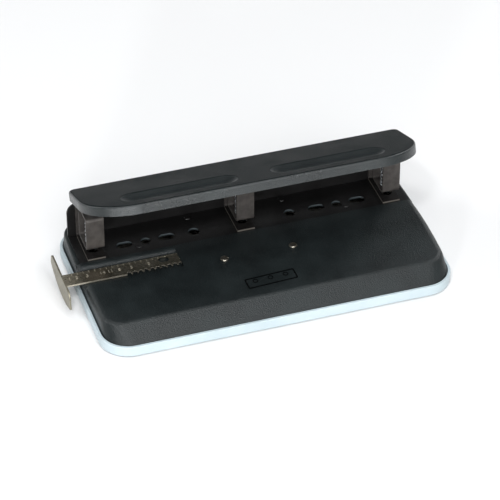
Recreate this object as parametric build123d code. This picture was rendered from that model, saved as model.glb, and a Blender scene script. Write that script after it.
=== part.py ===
from build123d import *
import math
import os

# Three-hole desk punch. Millimetres. X runs along the punch, -Y is the side the paper enters,
# Z is up. The origin is on the surface under the middle of the base pan.

# ---- base pan -------------------------------------------------------------------------------
PAN_HALF_X, PAN_HALF_Y = 125.8, 70.0
PAN_CORNER = 21.0
PAN_BOTTOM, PAN_FLOOR, PAN_RIM = 0.5, 2.5, 8.5
PAN_WALL = 1.8
PAN_LEDGE_Z, PAN_LEDGE = 4.0, 1.9
FOOT_R, FOOT_TOP = 8.0, 1.5
FOOT_X, FOOT_Y = 104.0, 50.0

# ---- pressed cover: skirt outline at the bottom and at the shoulder --------------------------
SHEET = 1.0
SKIRT_Z, BEND_Z, SHOULDER_Z = 4.0, 8.5, 24.0
SKIRT_FRONT, SKIRT_REAR, SKIRT_CORNER = -67.7, 67.7, 19.0
SKIRT_HALF_FRONT, SKIRT_HALF_MID, SKIRT_HALF_REAR = 123.25, 123.35, 123.25
TOP_FRONT, TOP_REAR, TOP_CORNER = -46.3, 66.0, 9.7
TOP_HALF_FRONT, TOP_HALF_MID, TOP_HALF_REAR = 121.0, 123.3, 119.0
BOW_Y = -18.0
CROWN_R, CROWN_PEAK_Y, CROWN_PEAK_Z = 400.0, -13.0, 20.3
SHOULDER_R, DECK_EDGE_R = 4.5, 1.5
DECK_Z = 17.5

# ---- L-shaped punch frame ----------------------------------------------------------------------
FRAME_T = 1.5
FRAME_HALF_X = 120.2
FRAME_FRONT, WALL_FRONT = 16.5, 49.0
FRAME_TOP = DECK_Z + FRAME_T
WALL_TOP, WALL_CORNER = 46.0, 8.0

# ---- punch heads: one strip bent in a spiral ---------------------------------------------------
HEADS = {"left": -108.0, "centre": 0.0, "right": 108.0}
STRIP_W, STRIP_T, BEND_R = 12.7, 1.5, 2.25
FOOT_FRONT, HEAD_FACE, INNER_BACK = 17.5, 19.15, 40.0
ARM_BOTTOM, ARM_TOP, INNER_TOP = 26.0, 52.6, 46.5
STOP_Y, STOP_TOP, STOP_W = 40.4, 25.0, 8.0

# ---- pins, clips and springs -------------------------------------------------------------------
PIN_Y, PIN_R, FIT = 27.7, 3.55, 0.05
PIN_TIP, PIN_CENTRE, DOME_R = 26.3, 59.8, 5.0
GROOVE_R, CLIP_R, CLIP_Z, CLIP_T = 3.05, 5.5, 49.9, 1.1
SPRING_R, WIRE_R, COILS = 4.45, 0.5, 8
SPRING_LOW, SPRING_HIGH = 27.55, 49.85

# ---- handle: laid flat, then tilted about its rear top edge ------------------------------------
TILT = 20.9
CAP_REAR_Y, CAP_REAR_Z = 44.3, 62.5
CAP_HALF_X, CAP_DEPTH, CAP_LIP, CAP_REAR_LIP = 120.3, 67.35, 6.8, 3.0
CAP_SHEET, CAP_FRONT_R, CAP_REAR_R, CAP_EDGE_R = 1.2, 35.0, 5.0, 1.8
GROOVE_X, GROOVE_V, GROOVE_HALF_L, GROOVE_HALF_W, GROOVE_DEPTH = 53.0, 47.5, 41.0, 10.0, 2.6
GROOVE_EDGE_R = 5.0
CHANNEL_HALF_X, CHANNEL_BACK, CHANNEL_FRONT, CHANNEL_T, CHANNEL_LIP = 112.0, 6.0, 34.0, 2.0, 3.2

# ---- hinge ---------------------------------------------------------------------------------------
HINGE_Y, HINGE_Z, ROD_R, EAR_R = 45.5, 54.8, 2.0, 3.8
BRACKET_X, EAR_T, LUG_GAP, FLANGE_W = 92.0, 2.0, 0.4, 14.0
CENTRE_BRACKET_X = 30.0
ROD_HALF = 98.8

# ---- paper guide ---------------------------------------------------------------------------------
GUIDE_TOP, GUIDE_T = 18.5, 1.2
GUIDE_BACK, GUIDE_FRONT = 8.4, -4.3
GUIDE_END_X, BLADE_X = 34.0, -136.3
TOOTH_PITCH, TOOTH_R, TOOTH_IN, TOOTH_FIRST, TOOTH_COUNT = 4.1, 1.5, 0.6, -91.0, 22
PEG_X, PEG_Y, PEG_L, PEG_W = -64.2, 4.3, 7.6, 6.0
BLADE_FRONT, BLADE_REAR, BLADE_LOW = -15.2, 36.6, 1.4
BLADE_TIP_Z, BLADE_HEEL_Z, BLADE_HEEL_R = 6.2, 10.0, 5.0
RECESS_END, RECESS_FLOOR = -53.5, 17.1
OGEE_HOLLOW, OGEE_CREST, OGEE_RISE = 3.0, 5.0, 2.45
TABLE_RIVET_X, TABLE_RIVET_Y = 24.85, -10.65
LEAF_TOP, LEAF_T = 19.18, 0.6
BRIDGE_X0, BRIDGE_X1, BRIDGE_T = -48.0, -36.0, 0.8

# ---- rivets, screws, washers and nuts --------------------------------------------------------------
RIVET_R = 1.5
FRAME_RIVET_HEAD, TABLE_RIVET_HEAD, RIVET_DOME = 2.6, 2.9, 0.9
BOLT_R, BOLT_END, BOLT_Z = 1.7, 55.0, (31.0, 41.0)
BOLT_HEAD_R, BOLT_HEAD_T = 3.4, 2.2
WASHER_R, WASHER_T, NUT_T, NUT_FLATS = 4.2, 0.8, 2.6, 6.0
BRACKET_RIVET_Z, BRACKET_RIVET_HEAD, BRACKET_RIVET_TAIL = (33.5, 42.0), 3.0, 2.6
FLANGE_LOW, FLANGE_HIGH, FLANGE_CORNER = 29.0, 50.0, 2.5

# ---- places worked out from the sizes above --------------------------------------------------------
FOOT_PLACES = [(0, 0)] + [(sx * FOOT_X, sy * FOOT_Y) for sx in (-1, 1) for sy in (-1, 1)]
FLOOR_HOLES = [(side * x, length, width) for side in (-1, 1)
               for x, length, width in ((85.5, 11.5, 7), (70.2, 7.01, 7), (55, 11.5, 7), (35.2, 8.01, 8))]
FRAME_RIVETS = [(side * x, y) for side in (-1, 1) for x, y in ((76, 23.6), (34.8, 44.4))]
LUG_X = [-BRACKET_X - 2 * EAR_T - LUG_GAP, CENTRE_BRACKET_X + EAR_T + LUG_GAP,
         BRACKET_X + EAR_T + LUG_GAP]
BRACKET_RIVET_X = [sign * (at + EAR_T - FLANGE_W / 2 - 1)
                   for sign, at in ((-1, BRACKET_X), (1, CENTRE_BRACKET_X), (1, BRACKET_X))]
ANGLE = math.radians(TILT)
REACH_Y, REACH_Z = HINGE_Y - CAP_REAR_Y, HINGE_Z - CAP_REAR_Z
PIVOT_Y = REACH_Y * math.cos(ANGLE) - REACH_Z * math.sin(ANGLE)
PIVOT_Z = REACH_Y * math.sin(ANGLE) + REACH_Z * math.cos(ANGLE)


def rounded(half_x, front, rear, corner, z):
    """Rounded rectangle at height z, between two Y limits."""
    return Pos(0, (front + rear) / 2, z) * RectangleRounded(2 * half_x, rear - front, corner)


def block(x0, x1, y0, y1, z0, z1):
    """Box between opposite corners."""
    return Pos((x0 + x1) / 2, (y0 + y1) / 2, (z0 + z1) / 2) * Box(x1 - x0, y1 - y0, z1 - z0)


def rod(x, y, z0, z1, r):
    """Upright round bar."""
    return Pos(x, y, (z0 + z1) / 2) * Cylinder(r, z1 - z0)


def bar_x(x0, x1, y, z, r):
    """Round bar along X."""
    return Pos((x0 + x1) / 2, y, z) * Rot(0, 90, 0) * Cylinder(r, x1 - x0)


def bar_y(x, y0, y1, z, r):
    """Round bar along Y."""
    return Pos(x, (y0 + y1) / 2, z) * Rot(90, 0, 0) * Cylinder(r, y1 - y0)


def slot_hole(x, y, z0, z1, length, width):
    """Upright cutter with an obround outline along X."""
    outline = SlotOverall(length, width)
    return Pos(x, y, z0) * extrude(outline, z1 - z0)


def side_profile(points, half_width):
    """Plate with a straight-sided outline given in Y and Z, thick along X."""
    face = make_face(Polyline(*points, close=True))
    return extrude(Plane.YZ * face, half_width, both=True)


def bent_strip(points, radius, thickness, width):
    """Strip bent along a Y-Z centre line, its width along X and centred on X = 0."""
    path = Plane.YZ * FilletPolyline(*points, radius=radius)
    section = Plane(path @ 0, x_dir=(1, 0, 0), z_dir=path % 0) * Rectangle(width, thickness)
    return sweep(section, path=path)


def make_base_pan():
    """Moulded tray that catches the chips, with a ledge for the cover and pockets for the feet."""
    outer = extrude(rounded(PAN_HALF_X, -PAN_HALF_Y, PAN_HALF_Y, PAN_CORNER, PAN_BOTTOM),
                    PAN_RIM - PAN_BOTTOM)
    outer = fillet(outer.edges().group_by(Axis.Z)[0], 1.2)
    outer = fillet(outer.edges().group_by(Axis.Z)[-1], 0.5)
    inner = PAN_WALL
    rim = extrude(rounded(PAN_HALF_X - inner, -PAN_HALF_Y + inner, PAN_HALF_Y - inner,
                          PAN_CORNER - inner, PAN_LEDGE_Z), PAN_RIM)
    inner = PAN_WALL + PAN_LEDGE
    well = extrude(rounded(PAN_HALF_X - inner, -PAN_HALF_Y + inner, PAN_HALF_Y - inner,
                           PAN_CORNER - inner, PAN_FLOOR), PAN_RIM)
    pan = outer - rim - well
    for x, y in FOOT_PLACES:
        pan -= rod(x, y, 0, FOOT_TOP, FOOT_R)
    return pan


def make_rubber_feet():
    """Five round pads: one near each corner and one under the middle."""
    pads = []
    for x, y in FOOT_PLACES:
        pad = rod(x, y, 0, FOOT_TOP, FOOT_R)
        pads.append(chamfer(pad.edges().group_by(Axis.Z)[0], 0.4))
    return Compound(children=pads)


def crown(radius):
    """Long cylinder whose top is the slightly arched table surface."""
    return Pos(0, CROWN_PEAK_Y, CROWN_PEAK_Z - CROWN_R) * Rot(0, 90, 0) * Cylinder(radius, 400)


def bowed(half_front, half_mid, half_rear, front, rear, corner, z):
    """Outline with straight front and rear, and sides that swell a little at BOW_Y."""
    right = ThreePointArc((half_front, front), (half_mid, BOW_Y), (half_rear, rear))
    left = ThreePointArc((-half_rear, rear), (-half_mid, BOW_Y), (-half_front, front))
    outline = make_face([Line(left @ 1, right @ 0), right, Line(right @ 1, left @ 0), left])
    return Pos(0, 0, z) * fillet(outline.vertices(), corner)


def cover_solid(inset):
    """Cover's outer form, or the space inside it when inset is the sheet thickness."""
    low = bowed(SKIRT_HALF_FRONT - inset, SKIRT_HALF_MID - inset, SKIRT_HALF_REAR - inset,
                SKIRT_FRONT + inset, SKIRT_REAR - inset, SKIRT_CORNER - inset, BEND_Z)
    high = bowed(TOP_HALF_FRONT - inset, TOP_HALF_MID - inset, TOP_HALF_REAR - inset,
                 TOP_FRONT + inset, TOP_REAR - inset, TOP_CORNER - inset, SHOULDER_Z)
    form = loft([low, high], ruled=True)
    table = form & crown(CROWN_R - inset)
    table = fillet(table.edges().group_by(Axis.Z)[-1] + front_shoulder(table), SHOULDER_R - inset)
    table -= block(-140, 140, FRAME_FRONT - inset, 80, 0, 40)
    deck = form & block(-140, 140, FRAME_FRONT - inset, 80, 0, DECK_Z - inset)
    rim = deck.edges().group_by(Axis.Z)[-1].sort_by(Axis.Y)[1:]
    deck = fillet(rim, DECK_EDGE_R - inset)
    return table + deck + extrude(low, SKIRT_Z - BEND_Z - inset)


def front_shoulder(body):
    """Edges round the table top, apart from those already picked as the highest."""
    top = body.faces().filter_by(GeomType.CYLINDER).sort_by(Axis.Z)[-1]
    highest = body.edges().group_by(Axis.Z)[-1]
    return [edge for edge in top.edges() if edge not in highest]


def recess(margin):
    """Trough in the table that the paper guide lies in; its back wall sweeps up in an ogee."""
    low, back, front = RECESS_FLOOR - margin, GUIDE_BACK + 0.5, GUIDE_FRONT - 5.5
    hollow, crest = OGEE_HOLLOW - margin, OGEE_CREST + margin
    turn = math.acos(1 - OGEE_RISE / (OGEE_HOLLOW + OGEE_CREST))
    middle = (back + hollow * math.sin(turn), low + hollow * (1 - math.cos(turn)))
    end = (middle[0] + crest * math.sin(turn), middle[1] + crest * (1 - math.cos(turn)))
    rise = JernArc((back, low), (1, 0), hollow, math.degrees(turn))
    sweep_over = JernArc(middle, (math.cos(turn), math.sin(turn)), crest, -math.degrees(turn))
    rest = Polyline(end, (end[0], 30), (front - margin - 1, 30), (front - margin, low), (back, low))
    face = make_face([rise, sweep_over, *rest.edges()])
    trough = extrude(Plane.YZ * face, -100 - margin)
    return Pos(RECESS_END + margin, 0, 0) * trough


def make_base_cover():
    """Pressed steel cover: skirts, arched table, lowered deck for the frame, guide trough."""
    cover = cover_solid(0) - recess(0) - (cover_solid(SHEET) - recess(SHEET))
    cover -= block(RECESS_END - 0.1, RECESS_END + SHEET + 0.1, GUIDE_FRONT - 0.4, GUIDE_BACK + 0.4,
                   RECESS_FLOOR, GUIDE_TOP + 0.12)
    for x in HEADS.values():
        cover -= slot_hole(x, PIN_Y, DECK_Z - 3, DECK_Z + 1, 16, 12)
    for x, length, width in FLOOR_HOLES:
        cover -= slot_hole(x, PIN_Y, DECK_Z - 3, DECK_Z + 1, length + 1.5, width + 1.5)
    for x, y in FRAME_RIVETS:
        cover -= rod(x, y, DECK_Z - 3, DECK_Z + 1, RIVET_R)
    for side in (-1, 1):
        cover -= rod(side * TABLE_RIVET_X, TABLE_RIVET_Y, 17, 22, RIVET_R)
    return cover


def make_punch_frame():
    """Bent plate: floor on the deck and upright wall behind, with die and position holes."""
    floor = block(-FRAME_HALF_X, FRAME_HALF_X, FRAME_FRONT, WALL_FRONT + FRAME_T, DECK_Z, FRAME_TOP)
    wall = block(-FRAME_HALF_X, FRAME_HALF_X, WALL_FRONT, WALL_FRONT + FRAME_T, DECK_Z, WALL_TOP)
    wall = fillet(wall.edges().filter_by(Axis.Y).group_by(Axis.Z)[-1], WALL_CORNER)
    frame = floor + wall
    frame = fillet(frame.edges().filter_by(Axis.X).group_by(Axis.Y)[-1].group_by(Axis.Z)[0], 1.4)
    for x in HEADS.values():
        frame -= rod(x, PIN_Y, DECK_Z - 1, FRAME_TOP + 1, PIN_R + 0.75)
        for z in BOLT_Z:
            frame -= bar_y(x, WALL_FRONT - 1, WALL_FRONT + FRAME_T + 1, z, BOLT_R)
    for x, length, width in FLOOR_HOLES:
        frame -= slot_hole(x, PIN_Y, DECK_Z - 1, FRAME_TOP + 1, length, width)
    for x, y in FRAME_RIVETS:
        frame -= rod(x, y, DECK_Z - 1, FRAME_TOP + 1, RIVET_R)
    for x in BRACKET_RIVET_X:
        for z in BRACKET_RIVET_Z:
            frame -= bar_y(x, WALL_FRONT - 1, WALL_FRONT + FRAME_T + 1, z, RIVET_R)
    return frame


def upright_rivet(x, y, low, high, head_r):
    """Rivet with a low domed head above and a flat upset end below."""
    shank = rod(x, y, low - 0.8, high, RIVET_R)
    head = rod(x, y, high, high + RIVET_DOME, head_r)
    head = fillet(head.edges().group_by(Axis.Z)[-1], RIVET_DOME * 0.8)
    upset = rod(x, y, low - 0.8, low, head_r * 0.85)
    return shank + head + upset


def make_frame_rivets():
    """Four rivets that hold the frame on the deck."""
    return Compound(children=[upright_rivet(x, y, DECK_Z - SHEET, FRAME_TOP, FRAME_RIVET_HEAD)
                              for x, y in FRAME_RIVETS])


def make_table_rivets():
    """Two rivets that hold the detent spring under the table."""
    return Compound(children=[upright_rivet(side * TABLE_RIVET_X, TABLE_RIVET_Y, LEAF_TOP - LEAF_T,
                                            CROWN_PEAK_Z, TABLE_RIVET_HEAD) for side in (-1, 1)])


def make_head(x):
    """Spiral strip: foot with die hole, riser, top arm, front, bottom arm, inner back."""
    half = STRIP_T / 2
    points = [(FOOT_FRONT, FRAME_TOP + half), (WALL_FRONT - half, FRAME_TOP + half),
              (WALL_FRONT - half, ARM_TOP - half), (HEAD_FACE + half, ARM_TOP - half),
              (HEAD_FACE + half, ARM_BOTTOM + half), (INNER_BACK - half, ARM_BOTTOM + half),
              (INNER_BACK - half, INNER_TOP)]
    head = bent_strip(points, BEND_R, STRIP_T, STRIP_W)
    head += block(-STOP_W / 2, STOP_W / 2, STOP_Y, STOP_Y + 1.2, FRAME_TOP + 1, STOP_TOP)
    head -= rod(0, PIN_Y, FRAME_TOP - 1, ARM_TOP + 1, PIN_R + FIT)
    for z in BOLT_Z:
        head -= bar_y(0, WALL_FRONT - 3, WALL_FRONT + 1, z, BOLT_R)
    return Pos(x, 0, 0) * head


def make_head_bolts():
    """Two pan-head screws through each head's riser and the wall."""
    bolts = []
    for x in HEADS.values():
        for z in BOLT_Z:
            face = WALL_FRONT - STRIP_T
            shank = bar_y(x, face, BOLT_END, z, BOLT_R)
            head = bar_y(x, face - BOLT_HEAD_T, face, z, BOLT_HEAD_R)
            head = fillet(head.edges().group_by(Axis.Y)[0], 1.2)
            bolts.append(shank + head - block(x - 4, x + 4, face - 3, face - 1.2, z - 0.5, z + 0.5))
    return Compound(children=bolts)


def make_head_washers():
    """Plain washers behind the wall."""
    back = WALL_FRONT + FRAME_T
    rings = [bar_y(x, back, back + WASHER_T, z, WASHER_R) - bar_y(x, back - 1, back + 2, z, BOLT_R)
             for x in HEADS.values() for z in BOLT_Z]
    return Compound(children=rings)


def make_head_nuts():
    """Hexagon nuts on the washers."""
    back = WALL_FRONT + FRAME_T + WASHER_T
    nuts = []
    for x in HEADS.values():
        for z in BOLT_Z:
            hexagon = extrude(RegularPolygon(NUT_FLATS / 2, 6, major_radius=False), NUT_T)
            hexagon = chamfer(hexagon.edges().group_by(Axis.Z)[-1], 0.3)
            nut = Pos(x, back, z) * Rot(-90, 0, 0) * hexagon
            nuts.append(nut - bar_y(x, back - 1, back + NUT_T + 1, z, BOLT_R))
    return Compound(children=nuts)


def make_pin(x):
    """Hardened punch pin: domed top, clip groove, notched cutting end."""
    pin = rod(x, PIN_Y, PIN_TIP, PIN_CENTRE + DOME_R, PIN_R)
    dome = Pos(x, PIN_Y, PIN_CENTRE) * Sphere(DOME_R)
    pin = pin & (dome + rod(x, PIN_Y, PIN_TIP, PIN_CENTRE, PIN_R + 1))
    groove = rod(x, PIN_Y, CLIP_Z, CLIP_Z + CLIP_T, PIN_R + 1) - rod(x, PIN_Y, 0, 90, GROOVE_R)
    notch = [(PIN_Y - 5, PIN_TIP - 1), (PIN_Y + 5, PIN_TIP - 1), (PIN_Y, PIN_TIP + 1.2)]
    return pin - groove - Pos(x, 0, 0) * side_profile(notch, 5)


def make_clip(x):
    """E-shaped retaining ring in the pin's groove."""
    ring = rod(x, PIN_Y, CLIP_Z, CLIP_Z + CLIP_T, CLIP_R) - rod(x, PIN_Y, 0, 90, GROOVE_R)
    ring -= block(x - 2.2, x + 2.2, PIN_Y, PIN_Y + 8, CLIP_Z - 1, CLIP_Z + 3)
    for turn in (140, 220):
        notch = Pos(x, PIN_Y, 0) * Rot(0, 0, turn) * Pos(0, GROOVE_R + 0.2, 0) * rod(0, 0, 40, 60, 0.8)
        ring -= notch
    return ring


def make_spring(x):
    """Round-wire compression spring between the bottom arm and the clip."""
    rise = SPRING_HIGH - SPRING_LOW - 2 * WIRE_R
    coil = Helix(rise / COILS, rise, SPRING_R, center=(x, PIN_Y, SPRING_LOW + WIRE_R))
    wire = Plane(coil @ 0, z_dir=coil % 0) * Circle(WIRE_R)
    return sweep(wire, path=coil, is_frenet=True)


def bracket(x):
    """Angle bracket on the back of the wall whose ear carries the hinge rod; ear starts at x."""
    back = WALL_FRONT + FRAME_T
    ear = block(x, x + EAR_T, HINGE_Y - EAR_R, back + EAR_T, WALL_TOP + 0.3, HINGE_Z)
    ear += bar_x(x, x + EAR_T, HINGE_Y, HINGE_Z, EAR_R)
    flange = block(x + EAR_T - FLANGE_W, x + EAR_T, back, back + EAR_T, FLANGE_LOW, FLANGE_HIGH)
    flange = fillet(flange.edges().filter_by(Axis.Y).group_by(Axis.X)[0], FLANGE_CORNER)
    part = ear + flange - bar_x(x - 1, x + EAR_T + 1, HINGE_Y, HINGE_Z, ROD_R)
    for z in BRACKET_RIVET_Z:
        part -= bar_y(x + EAR_T - FLANGE_W / 2 - 1, back - 1, back + 4, z, RIVET_R)
    return part


def make_bracket_rivets():
    """Round-head rivets through the wall and the bracket flanges."""
    rivets = []
    for x in BRACKET_RIVET_X:
        for z in BRACKET_RIVET_Z:
            head = bar_y(x, WALL_FRONT - 1.3, WALL_FRONT, z, BRACKET_RIVET_HEAD)
            head = fillet(head.edges().group_by(Axis.Y)[0], 1)
            end = WALL_FRONT + FRAME_T + EAR_T
            shank = bar_y(x, WALL_FRONT, end + 1, z, RIVET_R)
            rivets.append(head + shank + bar_y(x, end, end + 1, z, BRACKET_RIVET_TAIL))
    return Compound(children=rivets)


def make_hinge_rod():
    """Full-length hinge rod with a groove near each end."""
    pivot = bar_x(-ROD_HALF, ROD_HALF, HINGE_Y, HINGE_Z, ROD_R)
    for side in (-1, 1):
        at = side * (ROD_HALF - 1.1)
        pivot -= bar_x(at - 0.4, at + 0.4, HINGE_Y, HINGE_Z, 4) - bar_x(-99, 99, HINGE_Y, HINGE_Z, 1.5)
    return pivot


def make_rod_clips():
    """Retaining rings in the grooves of the hinge rod."""
    rings = []
    for side in (-1, 1):
        at = side * (ROD_HALF - 1.1)
        ring = bar_x(at - 0.4, at + 0.4, HINGE_Y, HINGE_Z, 3.6)
        ring -= bar_x(at - 1, at + 1, HINGE_Y, HINGE_Z, 1.5)
        rings.append(ring - block(at - 1, at + 1, HINGE_Y - 1.1, HINGE_Y + 1.1, HINGE_Z, HINGE_Z + 5))
    return Compound(children=rings)


def tilt_handle(shape):
    """Move a handle piece from flat to its raised rest position."""
    return Pos(0, CAP_REAR_Y, CAP_REAR_Z) * Rot(-TILT, 0, 0) * shape


def cap_outline(inset, z):
    """Handle outline: large radii at the front, small at the rear; rear edge on Y = 0."""
    half, depth = CAP_HALF_X - inset, CAP_DEPTH - inset
    front, rear = CAP_FRONT_R - inset, CAP_REAR_R - inset
    outline = Pos(0, -(depth + inset) / 2, z) * Rectangle(2 * half, depth - inset)
    corners = outline.vertices().group_by(Axis.Y)
    outline = fillet(corners[0], front)
    return fillet(outline.vertices().group_by(Axis.Y)[-1], rear)


def groove_form(grow):
    """Shallow trough with rounded ends, sunk in the top of the handle."""
    ball = (GROOVE_HALF_W ** 2 + GROOVE_DEPTH ** 2) / (2 * GROOVE_DEPTH)
    rise = ball - GROOVE_DEPTH
    reach = GROOVE_HALF_L - GROOVE_HALF_W
    trough = bar_x(-reach, reach, -GROOVE_V, rise, ball + grow)
    for side in (-1, 1):
        trough += Pos(side * reach, -GROOVE_V, rise) * Sphere(ball + grow)
    return trough


def make_handle_cap():
    """Pressed lever cap with turned-down lips and two troughs for the fingers."""
    outer = extrude(cap_outline(0, -CAP_LIP), CAP_LIP)
    outer = fillet(outer.edges().group_by(Axis.Z)[-1], CAP_EDGE_R)
    inner = extrude(cap_outline(CAP_SHEET, -CAP_LIP - 1), CAP_LIP + 1 - CAP_SHEET)
    inner = fillet(inner.edges().group_by(Axis.Z)[-1], CAP_EDGE_R - CAP_SHEET)
    for side in (-1, 1):
        outer -= Pos(side * GROOVE_X, 0, 0) * groove_form(0)
        inner -= Pos(side * GROOVE_X, 0, 0) * groove_form(CAP_SHEET)
    rims = outer.faces().filter_by(GeomType.PLANE).sort_by(Axis.Z)[-1].inner_wires()
    outer = fillet([edge for rim in rims for edge in rim.edges()], GROOVE_EDGE_R)
    cap = outer - inner
    cap -= block(-130, 130, -CAP_SHEET - 0.2, 1, -CAP_LIP - 1, -CAP_REAR_LIP)
    return tilt_handle(cap)


def lug(x):
    """Hinge lug of the channel, reaching under the cap's rear lip to the rod; starts at x."""
    top = -CAP_SHEET - CHANNEL_T
    points = [(-CHANNEL_BACK - 9, top), (0.4, top), (PIVOT_Y - 1, PIVOT_Z + 3.5), (PIVOT_Y, PIVOT_Z),
              (PIVOT_Y - 1.5, PIVOT_Z - 3.4), (-6, -8.2), (-CHANNEL_BACK - 9, top - 2)]
    plate = Pos(x + EAR_T / 2, 0, 0) * side_profile(points, EAR_T / 2)
    plate += bar_x(x, x + EAR_T, PIVOT_Y, PIVOT_Z, EAR_R)
    return plate - bar_x(x - 1, x + EAR_T + 1, PIVOT_Y, PIVOT_Z, ROD_R + FIT)


def make_channel():
    """Stiff inner channel that presses on the pins and carries the hinge lugs."""
    top = -CAP_SHEET
    web = block(-CHANNEL_HALF_X, CHANNEL_HALF_X, -CHANNEL_FRONT, -CHANNEL_BACK, top - CHANNEL_T, top)
    lip = block(-CHANNEL_HALF_X, CHANNEL_HALF_X, -CHANNEL_FRONT, -CHANNEL_FRONT + CHANNEL_T,
                top - CHANNEL_T - CHANNEL_LIP, top)
    channel = web + lip
    for x in LUG_X:
        channel += lug(x)
    return tilt_handle(channel)


def make_paper_guide():
    """Bent strip with a rack on its front edge, a peg hole and a half-moon end stop."""
    strip = block(BLADE_X, GUIDE_END_X, GUIDE_FRONT, GUIDE_BACK, GUIDE_TOP - GUIDE_T, GUIDE_TOP)
    for step in range(TOOTH_COUNT):
        strip -= rod(TOOTH_FIRST + step * TOOTH_PITCH, GUIDE_FRONT + TOOTH_IN, 10, 25, TOOTH_R)
    strip -= slot_hole(PEG_X, PEG_Y, 10, 25, PEG_L, PEG_W)
    low, high = (BLADE_FRONT, BLADE_TIP_Z), (BLADE_REAR, BLADE_HEEL_Z)
    rim = Polyline(high, (BLADE_REAR - 2, GUIDE_TOP), (BLADE_FRONT + 1.5, GUIDE_TOP), low)
    arc = ThreePointArc(low, ((BLADE_FRONT + BLADE_REAR) / 2, BLADE_LOW), high)
    face = make_face([*rim.edges(), arc])
    face = fillet(face.vertices().group_by(Axis.Y)[-1], BLADE_HEEL_R)
    return strip + Pos(BLADE_X, 0, 0) * extrude(Plane.YZ * face, GUIDE_T)


def make_guide_bracket():
    """Bridge under the table that the guide slides in, welded to the table's underside."""
    low = GUIDE_TOP - GUIDE_T - 0.1
    front, back = GUIDE_FRONT - 1.0, GUIDE_BACK + 0.3
    bridge = block(BRIDGE_X0, BRIDGE_X1, front - BRIDGE_T, back + BRIDGE_T, low - BRIDGE_T, 22)
    bridge -= block(BRIDGE_X0 - 1, BRIDGE_X1 + 1, front, back, low, 23)
    ears = block(BRIDGE_X0, BRIDGE_X1, front - 6, front, 18.1, 22)
    ears += block(BRIDGE_X0, BRIDGE_X1, back, back + 5, 17.3, 22)
    return (bridge + ears) & crown(CROWN_R - SHEET)


def make_detent_spring():
    """Leaf spring under the table whose bent finger clicks along the rack."""
    top = LEAF_TOP
    y = TABLE_RIVET_Y
    leaf = block(-29, 29, y - 3, y + 3, top - LEAF_T, top)
    leaf = fillet(leaf.edges().filter_by(Axis.Z), 2)
    finger = block(-2, 2, y + 2, GUIDE_FRONT - 0.8, top - LEAF_T, top)
    finger += block(-2, 2, GUIDE_FRONT - 1.4, GUIDE_FRONT - 0.8, GUIDE_TOP - GUIDE_T, top)
    leaf += finger
    for side in (-1, 1):
        leaf -= rod(side * TABLE_RIVET_X, y, 10, 30, RIVET_R)
    return leaf


pieces = {
    "base_pan": make_base_pan(),
    "rubber_feet": make_rubber_feet(),
    "base_cover": make_base_cover(),
    "punch_frame": make_punch_frame(),
    "frame_rivets": make_frame_rivets(),
    "table_rivets": make_table_rivets(),
    "guide_bracket": make_guide_bracket(),
    "detent_spring": make_detent_spring(),
    "paper_guide": make_paper_guide(),
    "head_bolts": make_head_bolts(),
    "head_washers": make_head_washers(),
    "head_nuts": make_head_nuts(),
    "hinge_bracket_left": mirror(bracket(BRACKET_X), Plane.YZ),
    "hinge_bracket_centre": bracket(CENTRE_BRACKET_X),
    "hinge_bracket_right": bracket(BRACKET_X),
    "bracket_rivets": make_bracket_rivets(),
    "hinge_rod": make_hinge_rod(),
    "rod_clips": make_rod_clips(),
    "pressure_channel": make_channel(),
    "handle_cap": make_handle_cap(),
}
for side, x in HEADS.items():
    pieces[f"punch_head_{side}"] = make_head(x)
    pieces[f"punch_pin_{side}"] = make_pin(x)
    pieces[f"pin_clip_{side}"] = make_clip(x)
    pieces[f"return_spring_{side}"] = make_spring(x)

os.makedirs("parts", exist_ok=True)
for name, shape in pieces.items():
    export_step(shape, f"parts/{name}.step")
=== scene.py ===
import math

import bmesh
import bpy
from mathutils import Matrix, Vector


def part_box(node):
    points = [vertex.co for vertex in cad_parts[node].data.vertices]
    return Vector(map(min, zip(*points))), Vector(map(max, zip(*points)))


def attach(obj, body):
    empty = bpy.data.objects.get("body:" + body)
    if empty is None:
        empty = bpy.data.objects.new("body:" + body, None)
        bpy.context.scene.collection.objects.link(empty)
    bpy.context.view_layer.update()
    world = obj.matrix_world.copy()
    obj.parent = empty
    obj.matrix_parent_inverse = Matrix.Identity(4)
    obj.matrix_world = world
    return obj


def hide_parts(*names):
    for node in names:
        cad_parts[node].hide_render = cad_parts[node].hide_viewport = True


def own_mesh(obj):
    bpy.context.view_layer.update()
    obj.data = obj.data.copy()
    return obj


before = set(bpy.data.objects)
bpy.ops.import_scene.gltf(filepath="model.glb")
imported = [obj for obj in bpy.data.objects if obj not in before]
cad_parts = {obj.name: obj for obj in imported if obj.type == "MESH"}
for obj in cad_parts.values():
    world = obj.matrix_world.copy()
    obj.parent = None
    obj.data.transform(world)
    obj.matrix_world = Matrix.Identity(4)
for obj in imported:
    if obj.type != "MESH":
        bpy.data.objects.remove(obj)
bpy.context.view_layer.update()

MM = 0.001


# ---- Camera, table top and light -----------------------------------------------------------------
# A long lens looks down on the punch from its left front corner. The punch stands on a white
# laminate top with a wide soft box in front of it, weaker ones overhead, at both sides and high
# behind, and two small lamps that draw the highlights; low behind it the room is dark.
AZIMUTH, ELEVATION, ROLL = math.radians(-17.99), math.radians(37.242), math.radians(-0.0565)
DISTANCE, LENS, SENSOR = 1.8476, 194.33, 36.0
LOOK_AT = Vector((-0.009014, -0.018662, 0.030))

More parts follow.
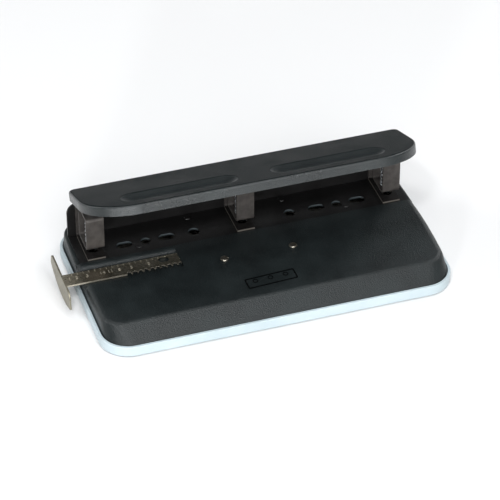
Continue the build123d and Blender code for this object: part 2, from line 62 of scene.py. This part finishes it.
# each lamp's place and side in metres, then its power in watts
LAMPS = {"front_box": ((0.05, -1.60, 1.05), 1.50, 27.0),
         "overhead_box": ((0.0, -0.42, 1.50), 1.00, 9.0),
         "rear_box": ((0.0, 0.85, 1.35), 0.55, 2.8),
         "left_box": ((-1.45, 0.75, 0.95), 0.90, 13.0),
         "right_box": ((1.45, 0.75, 0.95), 0.90, 13.0),
         "left_lamp": ((-1.05, -1.85, 0.30), 0.20, 26.0),
         "corner_lamp": ((-0.51, -0.82, 1.28), 0.14, 5.5)}
LAMP_COLOUR, ROOM_COLOUR, ROOM_STRENGTH = "fafcfd", "f0f4f8", 0.14


def aim(thing, place, target):
    """Puts a light or camera at a place, looking at a target."""
    thing.location = place
    thing.rotation_euler = (Vector(target) - Vector(place)).to_track_quat("-Z", "Y").to_euler()
    bpy.context.scene.collection.objects.link(thing)
    return thing


def linear(code):
    """Linear colour of an sRGB hex value such as "1e2626"."""
    parts = [int(code[i:i + 2], 16) / 255 for i in (0, 2, 4)]
    return [c / 12.92 if c <= 0.04045 else ((c + 0.055) / 1.055) ** 2.4 for c in parts] + [1.0]


def add(tree, kind, sockets=None, **settings):
    """Adds a shader node: settings are its properties, sockets its values or the links into it."""
    made = tree.nodes.new(kind)
    for name, value in settings.items():
        setattr(made, name, value)
    for name, value in (sockets or {}).items():
        if isinstance(value, bpy.types.NodeSocket):
            tree.links.new(value, made.inputs[name])
        else:
            made.inputs[name].default_value = value
    return made


def start_material(name):
    """An empty node material, its tree and its Object coordinates."""
    made = bpy.data.materials.new(name)
    made.use_nodes = True
    made.node_tree.nodes.clear()
    return made, made.node_tree, add(made.node_tree, "ShaderNodeTexCoord").outputs["Object"]


def finish_material(tree, **sockets):
    """Ends a material with its shader; keywords are the shader's sockets, _ for a space."""
    values = {name.replace("_", " "): value for name, value in sockets.items()}
    shader = add(tree, "ShaderNodeBsdfPrincipled", values)
    add(tree, "ShaderNodeOutputMaterial", {"Surface": shader.outputs[0]})


def per_metre(millimetres):
    """Scale of a pattern whose cells are that many millimetres across."""
    return 1000 / millimetres


def between(tree, amount, low, high, start=0.0, end=1.0):
    """Ramp from one sRGB hex colour to another as the amount goes from start to end."""
    ramp = add(tree, "ShaderNodeValToRGB", {"Fac": amount})
    ramp.color_ramp.elements[0].position, ramp.color_ramp.elements[1].position = start, end
    ramp.color_ramp.elements[0].color, ramp.color_ramp.elements[1].color = linear(low), linear(high)
    return ramp.outputs["Color"]


def piece_from(shape, name, material):
    """Makes an object of a bmesh, with its origin at the frame's origin."""
    mesh = bpy.data.meshes.new(name)
    shape.to_mesh(mesh)
    shape.free()
    mesh.materials.append(material)
    made = bpy.data.objects.new(name, mesh)
    bpy.context.scene.collection.objects.link(made)
    return made


back = Vector((math.sin(AZIMUTH) * math.cos(ELEVATION),
               -math.cos(AZIMUTH) * math.cos(ELEVATION), math.sin(ELEVATION)))
lens = bpy.data.cameras.new("camera")
lens.lens, lens.sensor_width, lens.clip_end = LENS, SENSOR, 20
camera = aim(bpy.data.objects.new("camera", lens), LOOK_AT + back * DISTANCE, LOOK_AT)
camera.rotation_euler.rotate_axis("Z", ROLL)
bpy.context.scene.camera = camera

# laminate: satin and even, so its broad soft shine barely shows
laminate, tree, place = start_material("white_laminate")
print_grain = add(tree, "ShaderNodeTexNoise",
                  {"Vector": place, "Scale": per_metre(40), "Detail": 2.0}).outputs["Fac"]
satin = add(tree, "ShaderNodeMapRange", {"Value": print_grain, "To Min": 0.60, "To Max": 0.68})
finish_material(tree, Base_Color=linear("e6e5e5"), Roughness=satin.outputs["Result"],
                Specular_IOR_Level=0.2)
sheet = bmesh.new()
bmesh.ops.create_grid(sheet, x_segments=1, y_segments=1, size=3.0)
piece_from(sheet, "table_top", laminate)

for name, (spot, size, power) in LAMPS.items():
    lamp = bpy.data.lights.new(name, "AREA")
    lamp.shape, lamp.size, lamp.energy = "SQUARE", size, power
    lamp.color = linear(LAMP_COLOUR)[:3]
    aim(bpy.data.objects.new(name, lamp), spot, (0, 0, 0.02))
room = bpy.data.worlds.new("room")
room.use_nodes = True
room.node_tree.nodes["Background"].inputs["Color"].default_value = linear(ROOM_COLOUR)
room.node_tree.nodes["Background"].inputs["Strength"].default_value = ROOM_STRENGTH
bpy.context.scene.world = room
bpy.context.scene.view_settings.view_transform = "Standard"


# ---- Base pan ------------------------------------------------------------------------------------
# One injection-moulded tray of pale polypropylene that clips under the cover and catches the chips.
# Moulded plastic: soft satin, slightly bluish, with fine spark-eroded grain and faint cloudiness.
PAN_PALE, PAN_SHADE = "b7c3c8", "adbabf"
PAN_GRAIN, PAN_CLOUD = 0.5, 30


def wear(node_names, material, other=None, takes_other=None):
    """Gives CAD nodes their material, and another one to the faces that takes_other picks."""
    for name in node_names:
        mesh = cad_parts[name].data
        mesh.materials.clear()
        mesh.materials.append(material)
        if other:
            mesh.materials.append(other)
            for face in mesh.polygons:
                face.material_index = int(takes_other(face))


polypropylene, tree, place = start_material("pale_polypropylene")
cloud = add(tree, "ShaderNodeTexNoise", {"Vector": place, "Scale": per_metre(PAN_CLOUD), "Detail": 3.0})
erosion = add(tree, "ShaderNodeTexNoise", {"Vector": place, "Scale": per_metre(PAN_GRAIN), "Detail": 2.0})
satin = add(tree, "ShaderNodeMapRange", {"Value": erosion.outputs["Fac"], "To Min": 0.36, "To Max": 0.5})
bump = add(tree, "ShaderNodeBump", {"Height": erosion.outputs["Fac"], "Strength": 0.2,
                                    "Distance": 0.05 * MM})
finish_material(tree, Base_Color=between(tree, cloud.outputs["Fac"], PAN_SHADE, PAN_PALE, 0.3, 0.7),
                Roughness=satin.outputs["Result"], IOR=1.49, Normal=bump.outputs["Normal"])

# the pan's inside floor gets a dull, much darker grey as painted shade
shaded_inside, tree, place = start_material("shaded_inside_polypropylene")
inside_mottle = add(tree, "ShaderNodeTexNoise", {"Vector": place, "Scale": per_metre(3), "Detail": 5.0})
flat = add(tree, "ShaderNodeMapRange", {"Value": inside_mottle.outputs["Fac"], "To Min": 0.7, "To Max": 0.9})
finish_material(tree, Base_Color=between(tree, inside_mottle.outputs["Fac"], "55524f", "7a766f", 0.35, 0.65),
                Roughness=flat.outputs["Result"])
TRAY_FLOOR, TRAY_HIGH = 2.0 * MM, 3.0 * MM
wear(["base_pan"], polypropylene, shaded_inside,
     lambda face: face.normal.z > 0.9 and TRAY_FLOOR < face.center.z < TRAY_HIGH)


# ---- Rubber pads ---------------------------------------------------------------------------------
# Five round pads of black nitrile rubber pressed into pockets under the pan.
# Rubber: dull, nearly black, with a dusty bloom that lightens it in patches.
rubber, tree, place = start_material("nitrile_rubber")
bloom = add(tree, "ShaderNodeTexNoise", {"Vector": place, "Scale": per_metre(4), "Detail": 4.0})
grip = add(tree, "ShaderNodeTexNoise", {"Vector": place, "Scale": per_metre(0.4), "Detail": 2.0})
bump = add(tree, "ShaderNodeBump", {"Height": grip.outputs["Fac"], "Strength": 0.3,
                                    "Distance": 0.05 * MM})
dull = add(tree, "ShaderNodeMapRange", {"Value": bloom.outputs["Fac"], "To Min": 0.78, "To Max": 0.92})
finish_material(tree, Base_Color=between(tree, bloom.outputs["Fac"], "121212", "2b2a29"),
                Roughness=dull.outputs["Result"], Normal=bump.outputs["Normal"])
wear(["rubber_feet"], rubber)


# ---- Base cover ----------------------------------------------------------------------------------
# Deep-drawn steel cover with skirts and a slightly arched table, coated in black baking enamel.
# Textured enamel: near-black with a green cast, and a pebble that breaks every highlight into
# sparkle. The real pebble is about 0.3 mm across; it is drawn at 1.1 mm so that it shows.
ENAMEL_DARK, ENAMEL_LIGHT = "101516", "191f20"
PEBBLE, GRIT, PATCH = 1.1, 0.6, 22


def baked_black(name, dark, light, texture, shine, rough=0.34):
    """Black coating on steel: texture is the depth of its pebble, shine its specular level."""
    made, tree, place = start_material(name)
    patch = add(tree, "ShaderNodeTexNoise", {"Vector": place, "Scale": per_metre(PATCH), "Detail": 5.0})
    pebble = add(tree, "ShaderNodeTexNoise",
                 {"Vector": place, "Scale": per_metre(PEBBLE), "Detail": 1.5, "Roughness": 0.6})
    grit = add(tree, "ShaderNodeTexVoronoi", {"Vector": place, "Scale": per_metre(GRIT)})
    height = add(tree, "ShaderNodeMath", {0: pebble.outputs["Fac"], 1: grit.outputs["Distance"]},
                 operation="ADD")
    bump = add(tree, "ShaderNodeBump", {"Height": height.outputs[0], "Strength": texture,
                                        "Distance": 0.35 * MM})
    gloss = add(tree, "ShaderNodeMapRange", {"Value": patch.outputs["Fac"], "From Min": 0.3,
                                             "From Max": 0.7, "To Min": rough, "To Max": rough + 0.1})
    finish_material(tree, Base_Color=between(tree, patch.outputs["Fac"], dark, light, 0.35, 0.65),
                    Roughness=gloss.outputs["Result"], Specular_IOR_Level=shine,
                    Normal=bump.outputs["Normal"])
    return made


enamel = baked_black("black_textured_enamel", ENAMEL_DARK, ENAMEL_LIGHT, 0.45, 0.4)
wear(["base_cover"], enamel)


# ---- Table pictogram -----------------------------------------------------------------------------
# Low raised mark pressed into the table near its front edge: a sheet with its three round holes.
# It is filled with a second, dead black enamel, wiped smooth so that it shines less than the table.
SHEET_LONG, SHEET_DEEP, SHEET_LINE, SHEET_CORNER = 36 * MM, 10 * MM, 0.9 * MM, 1 * MM
HOLE_STEP, HOLE_RADIUS, HOLE_IN = 11 * MM, 1.9 * MM, 3.6 * MM
MARK_PLACE, MARK_TURN = (-0.9 * MM, -40.5 * MM), math.radians(3)
MARK_HEIGHT, MARK_SUNK = 0.22 * MM, 0.04 * MM
ARCH_RADIUS, ARCH_TOP = 400 * MM, (-13 * MM, 20.3 * MM)

dead_black, tree, place = start_material("wiped_black_enamel")
rub = add(tree, "ShaderNodeTexNoise", {"Vector": place, "Scale": per_metre(1.5), "Detail": 3.0})
polish = add(tree, "ShaderNodeMapRange", {"Value": rub.outputs["Fac"], "To Min": 0.2, "To Max": 0.4})
finish_material(tree, Base_Color=between(tree, rub.outputs["Fac"], "020202", "060707"),
                Roughness=polish.outputs["Result"], Specular_IOR_Level=0.1)


def outline_of(mark, faces, width):
    """Leaves only a line of that width along the edge of each face."""
    bmesh.ops.inset_individual(mark, faces=faces, thickness=width)
    bmesh.ops.delete(mark, geom=faces, context="FACES_ONLY")


mark = bmesh.new()
bmesh.ops.create_grid(mark, x_segments=1, y_segments=1, size=0.5)
bmesh.ops.scale(mark, vec=(SHEET_LONG, SHEET_DEEP, 1), verts=mark.verts)
long_sides = [e for e in mark.edges if abs(e.verts[0].co.x - e.verts[1].co.x) > MM]
bmesh.ops.subdivide_edges(mark, edges=long_sides, cuts=1)
bmesh.ops.dissolve_faces(mark, faces=mark.faces[:])
bmesh.ops.bevel(mark, geom=mark.verts[:], offset=SHEET_CORNER, affect="VERTICES", segments=4,
                profile=0.5, material=-1)
outline_of(mark, mark.faces[:], SHEET_LINE)
for step in (-1, 0, 1):
    here = Matrix.Translation((step * HOLE_STEP, SHEET_DEEP / 2 - HOLE_IN, 0))
    hole = bmesh.ops.create_circle(mark, cap_ends=True, segments=20, radius=HOLE_RADIUS, matrix=here)
    outline_of(mark, list({face for vert in hole["verts"] for face in vert.link_faces}), SHEET_LINE * 0.7)
bmesh.ops.recalc_face_normals(mark, faces=mark.faces)
raised = bmesh.ops.extrude_face_region(mark, geom=mark.faces[:])["geom"]
bmesh.ops.translate(mark, verts=[v for v in raised if isinstance(v, bmesh.types.BMVert)],
                    vec=(0, 0, MARK_HEIGHT))
bmesh.ops.transform(mark, verts=mark.verts, matrix=Matrix.Translation((*MARK_PLACE, -MARK_SUNK))
                    @ Matrix.Rotation(MARK_TURN, 4, "Z"))
for vert in mark.verts:
    vert.co.z += ARCH_TOP[1] - (vert.co.y - ARCH_TOP[0]) ** 2 / (2 * ARCH_RADIUS)
bmesh.ops.recalc_face_normals(mark, faces=mark.faces)
pictogram = piece_from(mark, "table_pictogram", dead_black)
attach(pictogram, "base")


# ---- Punch frame ---------------------------------------------------------------------------------
# Bent steel plate, riveted to the cover's deck and dipped in a thin black lacquer. It stays
# smoother than the cover and looks slightly brown; its sheared edges catch the light.
EDGE_BREAK, FRAME_BREAK = 0.22 * MM, 0.4 * MM


def eased(node, body, material, edge=EDGE_BREAK, other=None, takes_other=None):
    """Replaces a flat-sided CAD node by its own merged shape with its sharp edges broken."""
    shape = bmesh.new()
    shape.from_mesh(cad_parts[node].data)
    bmesh.ops.remove_doubles(shape, verts=shape.verts, dist=0.002 * MM)
    bmesh.ops.dissolve_limit(shape, angle_limit=math.radians(1), verts=shape.verts, edges=shape.edges,
                             use_dissolve_boundaries=False)
    sharp = [e for e in shape.edges if len(e.link_faces) == 2
             and e.calc_face_angle(0) > math.radians(35)]
    bmesh.ops.bevel(shape, geom=sharp, offset=edge, affect="EDGES", segments=2, profile=0.5,
                    material=-1, clamp_overlap=True)
    for face in shape.faces:
        face.smooth = True
        face.material_index = int(bool(other) and takes_other(face))
    for line in shape.edges:
        if len(line.link_faces) == 2 and line.calc_face_angle(0) > math.radians(32):
            line.smooth = False
    piece = piece_from(shape, node + "_eased", material)
    if other:
        piece.data.materials.append(other)
    even = piece.modifiers.new("even_shading", "WEIGHTED_NORMAL")
    even.keep_sharp, even.weight = True, 100
    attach(piece, body)
    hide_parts(node)
    return piece


lacquer = baked_black("black_dipping_lacquer", "0c0b0b", "121111", 0.3, 0.35)

# the holes are punched after dipping, so their walls and rims are bare, slightly blued steel
HOLES_FRONT, HOLES_REAR, WALL_STEEP = 25.5 * MM, 34.0 * MM, 0.95
sheared, tree, place = start_material("sheared_hole_steel")
tear = add(tree, "ShaderNodeTexNoise", {"Vector": place, "Scale": per_metre(0.4), "Detail": 3.0})
gloss = add(tree, "ShaderNodeMapRange", {"Value": tear.outputs["Fac"], "To Min": 0.35, "To Max": 0.6})
finish_material(tree, Base_Color=between(tree, tear.outputs["Fac"], "434b4e", "565e61", 0.35, 0.65),
                Metallic=0.4, Roughness=gloss.outputs["Result"])
eased("punch_frame", "base", lacquer, FRAME_BREAK, sheared,
      lambda face: HOLES_FRONT < face.calc_center_median().y < HOLES_REAR
      and abs(face.normal.z) < WALL_STEEP and abs(face.normal.x) < WALL_STEEP)
wear(["frame_rivets"], lacquer)


# ---- Table rivets, guide bridge and detent leaf --------------------------------------------------
# Two oval-head rivets through the table hold the leaf spring under it; the bridge is spot-welded.
# Plated steel: pale warm grey, slightly stained, and pressed steel goes dark under the table.
def steel(name, dark, light, rough, grain, run=(1.0, 1.0, 1.0), metallic=1.0, stain=6):
    """Bare, plated or blacked steel: grain in millimetres, drawn out where run is below 1."""
    made, tree, place = start_material(name)
    drawn = add(tree, "ShaderNodeMapping", {"Vector": place, "Scale": run})
    lines = add(tree, "ShaderNodeTexNoise", {"Vector": drawn.outputs["Vector"],
                                             "Scale": per_metre(grain), "Detail": 3.0})
    blotch = add(tree, "ShaderNodeTexNoise", {"Vector": place, "Scale": per_metre(stain), "Detail": 5.0})
    gloss = add(tree, "ShaderNodeMapRange", {"Value": lines.outputs["Fac"], "From Min": 0.3,
                                             "From Max": 0.7, "To Min": rough - 0.08,
                                             "To Max": rough + 0.1})
    bump = add(tree, "ShaderNodeBump", {"Height": lines.outputs["Fac"], "Strength": 0.25,
                                        "Distance": 0.04 * MM})
    finish_material(tree, Base_Color=between(tree, blotch.outputs["Fac"], dark, light, 0.35, 0.65),
                    Metallic=metallic, Roughness=gloss.outputs["Result"], Normal=bump.outputs["Normal"])
    return made


plated = steel("nickel_plated_rivet_steel", "8f887c", "b5afa3", 0.34, 0.5)
blacked = steel("phosphated_pressed_steel", "1d1c1c", "2c2a29", 0.48, 0.5, metallic=0.5)
spring_strip = steel("tempered_spring_strip", "3f4247", "565a60", 0.3, 0.2, (0.1, 1.0, 1.0))
wear(["table_rivets"], plated)
eased("guide_bracket", "base", blacked)
wear(["detent_spring"], spring_strip)


# ---- Paper guide ---------------------------------------------------------------------------------
# Steel strip with a rack punched in its front edge and a half-moon stop welded across its end;
# it slides in the trough and clicks along the detent. Dull nickel plate: warm grey; its front edge
# gets a lighter colour as painted highlight. The size marks are coined on its top, and stand slightly
# proud.
# the digits' places along the strip are in millimetres
MARKS = {-131.4: "1", -126.4: "2", -118.9: "3", -108.3: "14", -102.6: "11", -96.2: "8",
         -87.6: "5", -75.2: "3"}
MARK_SIZE, MARK_PROUD, MARK_Y = 4.2 * MM, 0.16 * MM, 1.2 * MM
TICK_LONG, TICK_WIDE, TICK_Y, TICK_STEP = 1.9 * MM, 0.35 * MM, 7.0 * MM, 4.1 * MM
TICKS, FIRST_TICK, TICK_LIFT, MARK_LIFT = 16, -129 * MM, 0.05 * MM, 0.06 * MM
STRIP_TOP, STRIP_BREAK = 18.5 * MM, 0.18 * MM
STOP_FACE, RACK_START, RACK_IN = -134.9 * MM, -93.0 * MM, -1.6 * MM

dull_nickel = steel("nickel_plated_strip", "8b8473", "9c9585", 0.3, 0.35, (0.15, 1.0, 1.0), 1.0, 9)
rubbed_nickel_and_edge_highlight = steel("rubbed_marks_and_edge_highlight_nickel", "b5ad9c", "d2cbbb", 0.5, 0.3, metallic=0.8, stain=2)
brushed_nickel = steel("brushed_nickel_stop", "837e70", "989383", 0.42, 0.3, (1.0, 0.15, 1.0), 1.0, 9)
punched = steel("rack_painted_shade_edge", "0b0b0a", "191816", 0.6, 0.3, metallic=0.3, stain=2)

# the stop is brushed along its length; the strip's front edge gets a lighter colour as painted highlight,
# the rack's walls a near-black one as painted shade
guide = eased("paper_guide", "guide", dull_nickel, STRIP_BREAK)
for finish in (brushed_nickel, rubbed_nickel_and_edge_highlight, punched):
    guide.data.materials.append(finish)
for face in guide.data.polygons:
    if face.center.x < STOP_FACE:
        face.material_index = 1
    # rack walls: near-black colour as painted shade in the gullets
    elif abs(face.normal.z) < 0.3 and face.center.y < RACK_IN and face.center.x > RACK_START:
        face.material_index = 3
    # other front edge faces: lighter colour as painted highlight (also used for the rubbed size marks)
    elif abs(face.normal.z) < 0.95 and face.center.y < RACK_IN:
        face.material_index = 2

coined = bmesh.new()
for x, digits in MARKS.items():
    words = bpy.data.curves.new("mark", "FONT")
    words.body, words.size, words.extrude = digits, MARK_SIZE, MARK_PROUD / 2
    words.align_x, words.resolution_u = "CENTER", 2
    writing = bpy.data.objects.new("mark", words)
    flat = bpy.data.meshes.new_from_object(writing)
    flat.transform(Matrix.Translation((x * MM, MARK_Y, STRIP_TOP + MARK_LIFT)))
    coined.from_mesh(flat)
    bpy.data.objects.remove(writing)
for step in range(TICKS):
    here = Matrix.Translation((FIRST_TICK + step * TICK_STEP, TICK_Y, STRIP_TOP + TICK_LIFT))
    bmesh.ops.create_cube(coined, size=1, matrix=here @ Matrix.Diagonal(
        (TICK_WIDE, TICK_LONG, MARK_PROUD, 1)))
bmesh.ops.remove_doubles(coined, verts=coined.verts, dist=0.001 * MM)
bmesh.ops.recalc_face_normals(coined, faces=coined.faces)
size_marks = piece_from(coined, "guide_size_marks", rubbed_nickel_and_edge_highlight)
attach(size_marks, "guide")


# ---- Punch heads ---------------------------------------------------------------------------------
# Each head is one strip bent in a spiral and screwed to the wall: foot with the die, riser, top
# arm, front, bottom arm. Gunmetal-blacked strip: brown-grey with a rolled grain; the foot is painted
# dark as painted shade under the handle, and its lowest edge is painted lighter as painted highlight.
HEAD_DARK, HEAD_LIGHT = "433f3d", "524e4b"
FOOT_SHADE_DARK, FOOT_SHADE_LIGHT, FOOT_EDGE_HIGHLIGHT = "1b1918", "242120", "6a655f"
FOOT_LOW, FOOT_HIGH, HEAD_BREAK = 19.0 * MM, 22.0 * MM, 0.2 * MM

gunmetal, tree, place = start_material("gunmetal_blacked_strip")
drawn = add(tree, "ShaderNodeMapping", {"Vector": place, "Scale": (1.0, 0.15, 0.15)})
rolled = add(tree, "ShaderNodeTexNoise", {"Vector": drawn.outputs["Vector"], "Scale": per_metre(0.5),
                                          "Detail": 3.0})
blotch = add(tree, "ShaderNodeTexNoise", {"Vector": place, "Scale": per_metre(5), "Detail": 5.0})
along = add(tree, "ShaderNodeSeparateXYZ", {"Vector": place})
# by height: below 20.2 mm a lighter painted highlight on the foot's edge, then the foot's top painted
# dark as painted shade, blending into the strip's own tone by 21.55 mm
up_foot = add(tree, "ShaderNodeMapRange", {"Value": along.outputs["Z"], "From Min": FOOT_LOW,
                                           "From Max": FOOT_HIGH}).outputs["Result"]
foot_shade = between(tree, blotch.outputs["Fac"], FOOT_SHADE_DARK, FOOT_SHADE_LIGHT, 0.35, 0.65)
strip_tone = between(tree, blotch.outputs["Fac"], HEAD_DARK, HEAD_LIGHT, 0.35, 0.65)
foot = add(tree, "ShaderNodeMix", {0: between(tree, up_foot, "000000", "ffffff", 0.40, 0.44),
                                   6: linear(FOOT_EDGE_HIGHLIGHT), 7: foot_shade}, data_type="RGBA")
tone = add(tree, "ShaderNodeMix", {0: between(tree, up_foot, "000000", "ffffff", 0.55, 0.85),
                                   6: foot.outputs[2], 7: strip_tone}, data_type="RGBA")
gloss = add(tree, "ShaderNodeMapRange", {"Value": rolled.outputs["Fac"], "From Min": 0.3,
                                         "From Max": 0.7, "To Min": 0.42, "To Max": 0.6})
bump = add(tree, "ShaderNodeBump", {"Height": rolled.outputs["Fac"], "Strength": 0.25,
                                    "Distance": 0.04 * MM})
finish_material(tree, Base_Color=tone.outputs[2], Metallic=0.55, Roughness=gloss.outputs["Result"],
                Normal=bump.outputs["Normal"])
for side in ("left", "centre", "right"):
    eased("punch_head_" + side, "base", gunmetal, HEAD_BREAK)


# ---- Head screws, washers and nuts ---------------------------------------------------------------
# Two pan-head screws hold each head to the wall, with washers and nuts behind it.
# Zinc plate: bright, slightly blue and cloudy.
zinc = steel("zinc_plated_hardware", "8d9093", "b9bbbd", 0.32, 0.4, stain=2)
wear(["head_bolts", "head_washers", "head_nuts"], zinc)


# ---- Hinge ---------------------------------------------------------------------------------------
# Three angle brackets are riveted behind the wall; one drawn steel rod runs through them and the
# handle's lugs, kept in place by rings at its ends. The brackets are phosphated like the bridge.
drawn_rod = steel("bright_drawn_rod", "8b8d90", "a9abad", 0.25, 0.15, (0.05, 1.0, 1.0))
for side in ("left", "centre", "right"):
    eased("hinge_bracket_" + side, "base", blacked)
wear(["bracket_rivets", "rod_clips"], zinc)
wear(["hinge_rod"], drawn_rod)


# ---- Punch pins and their rings ------------------------------------------------------------------
# Hardened and ground tool-steel pins: mirror-like round the shank, with faint grinding rings.
# A spring-steel ring in each pin's groove takes the spring's push.
ground = steel("ground_tool_steel", "9b9ea1", "c4c7c9", 0.2, 0.12, (0.1, 0.1, 1.0))
ring_steel = steel("phosphated_ring_steel", "2f3032", "46484b", 0.35, 0.3, metallic=0.8)
for side in ("left", "centre", "right"):
    wear(["punch_pin_" + side], ground)
    wear(["pin_clip_" + side], ring_steel)


# ---- Return springs ------------------------------------------------------------------------------
# Eight coils of round music wire round each pin, the first and last closed, between the head's
# bottom arm and the ring. Drawn wire: smooth, dark and bright along its outside.
COIL_RADIUS, WIRE_RADIUS, COILS = 4.45 * MM, 0.5 * MM, 8
CLOSED_CLIMB, PIN_TRAVEL, ROUND_STEPS = 1.02 * MM, 8.29 * MM, 28

music_wire = steel("music_wire", "a5a7aa", "cbcdd0", 0.34, 0.15)
for side in ("left", "centre", "right"):
    low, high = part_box("return_spring_" + side)
    centre = (low + high) / 2
    rise = high.z - low.z - 2 * WIRE_RADIUS
    open_climb = rise - 2 * CLOSED_CLIMB
    wire = bmesh.new()
    section = Matrix.Translation((COIL_RADIUS, 0, WIRE_RADIUS)) @ Matrix.Rotation(math.pi / 2, 4, "X")
    bmesh.ops.create_circle(wire, cap_ends=False, segments=10, radius=WIRE_RADIUS, matrix=section)
    end = wire.verts[:] + wire.edges[:]
    for turns, climb in ((1, CLOSED_CLIMB), (COILS - 2, open_climb), (1, CLOSED_CLIMB)):
        steps = turns * ROUND_STEPS
        end = bmesh.ops.spin(wire, geom=end, cent=(0, 0, 0), axis=(0, 0, 1), angle=turns * math.tau,
                             dvec=(0, 0, climb / steps), steps=steps, use_merge=False)["geom_last"]
    bmesh.ops.holes_fill(wire, edges=wire.edges[:], sides=0)
    bmesh.ops.recalc_face_normals(wire, faces=wire.faces)
    bmesh.ops.translate(wire, verts=wire.verts, vec=(centre.x, centre.y, low.z))
    for face in wire.faces:
        face.smooth = len(face.verts) == 4
    coil = piece_from(wire, "coil_spring_" + side, music_wire)
    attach(coil, "base")
    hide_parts("return_spring_" + side)
    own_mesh(coil)


# ---- Pressure channel ----------------------------------------------------------------------------
# Folded steel channel spot-welded under the handle: it presses on the pins and carries the hinge
# lugs. Phosphated like the brackets.
eased("pressure_channel", "handle", blacked)


# ---- Handle --------------------------------------------------------------------------------------
# Pressed lever with a turned-down lip and two finger troughs, in the same enamel as the cover.
# Its flat top gets a darker copy of the enamel that barely shines, as painted shade; its troughs a less
# shiny copy, and the lips the shiniest copy, as painted sheen.
HANDLE_TILT, REAR_EDGE, TOP_WITHIN = math.radians(20.9), Vector((0, 44.3, 62.5)) * MM, 0.25 * MM

# the troughs lie between these distances from the rear edge, and this far out from the middle
TROUGH_NEAR, TROUGH_FAR, TROUGH_END, FACES_UP = 33 * MM, 62 * MM, 98 * MM, 0.5
top_direction = Vector((0, math.sin(HANDLE_TILT), math.cos(HANDLE_TILT)))
front_direction = Vector((0, -math.cos(HANDLE_TILT), math.sin(HANDLE_TILT)))

# lit and shaded copies of one enamel: lips shiniest as painted sheen, top darker and barely shining as
# painted shade, troughs between
lip_sheen_enamel = baked_black("lip_sheen_black_enamel", ENAMEL_DARK, ENAMEL_LIGHT, 0.5, 0.62, 0.24)
shaded_top_enamel = baked_black("shaded_top_black_enamel", "080d0e", "0e1415", 0.4, 0.05)
trough_half_shine_enamel = baked_black("trough_half_shine_black_enamel", ENAMEL_DARK, ENAMEL_LIGHT, 0.4, 0.32)
wear(["handle_cap"], lip_sheen_enamel)
cap_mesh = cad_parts["handle_cap"].data
cap_mesh.materials.append(shaded_top_enamel)
cap_mesh.materials.append(trough_half_shine_enamel)

# the top is what lies close to the plane through the rear edge, the troughs what is sunk below it
for face in cap_mesh.polygons:
    from_edge = face.center - REAR_EDGE
    if from_edge.dot(top_direction) > -TOP_WITHIN:
        face.material_index = 1
    elif (face.normal.dot(top_direction) > FACES_UP and abs(face.center.x) < TROUGH_END
          and TROUGH_NEAR < from_edge.dot(front_direction) < TROUGH_FAR):
        face.material_index = 2
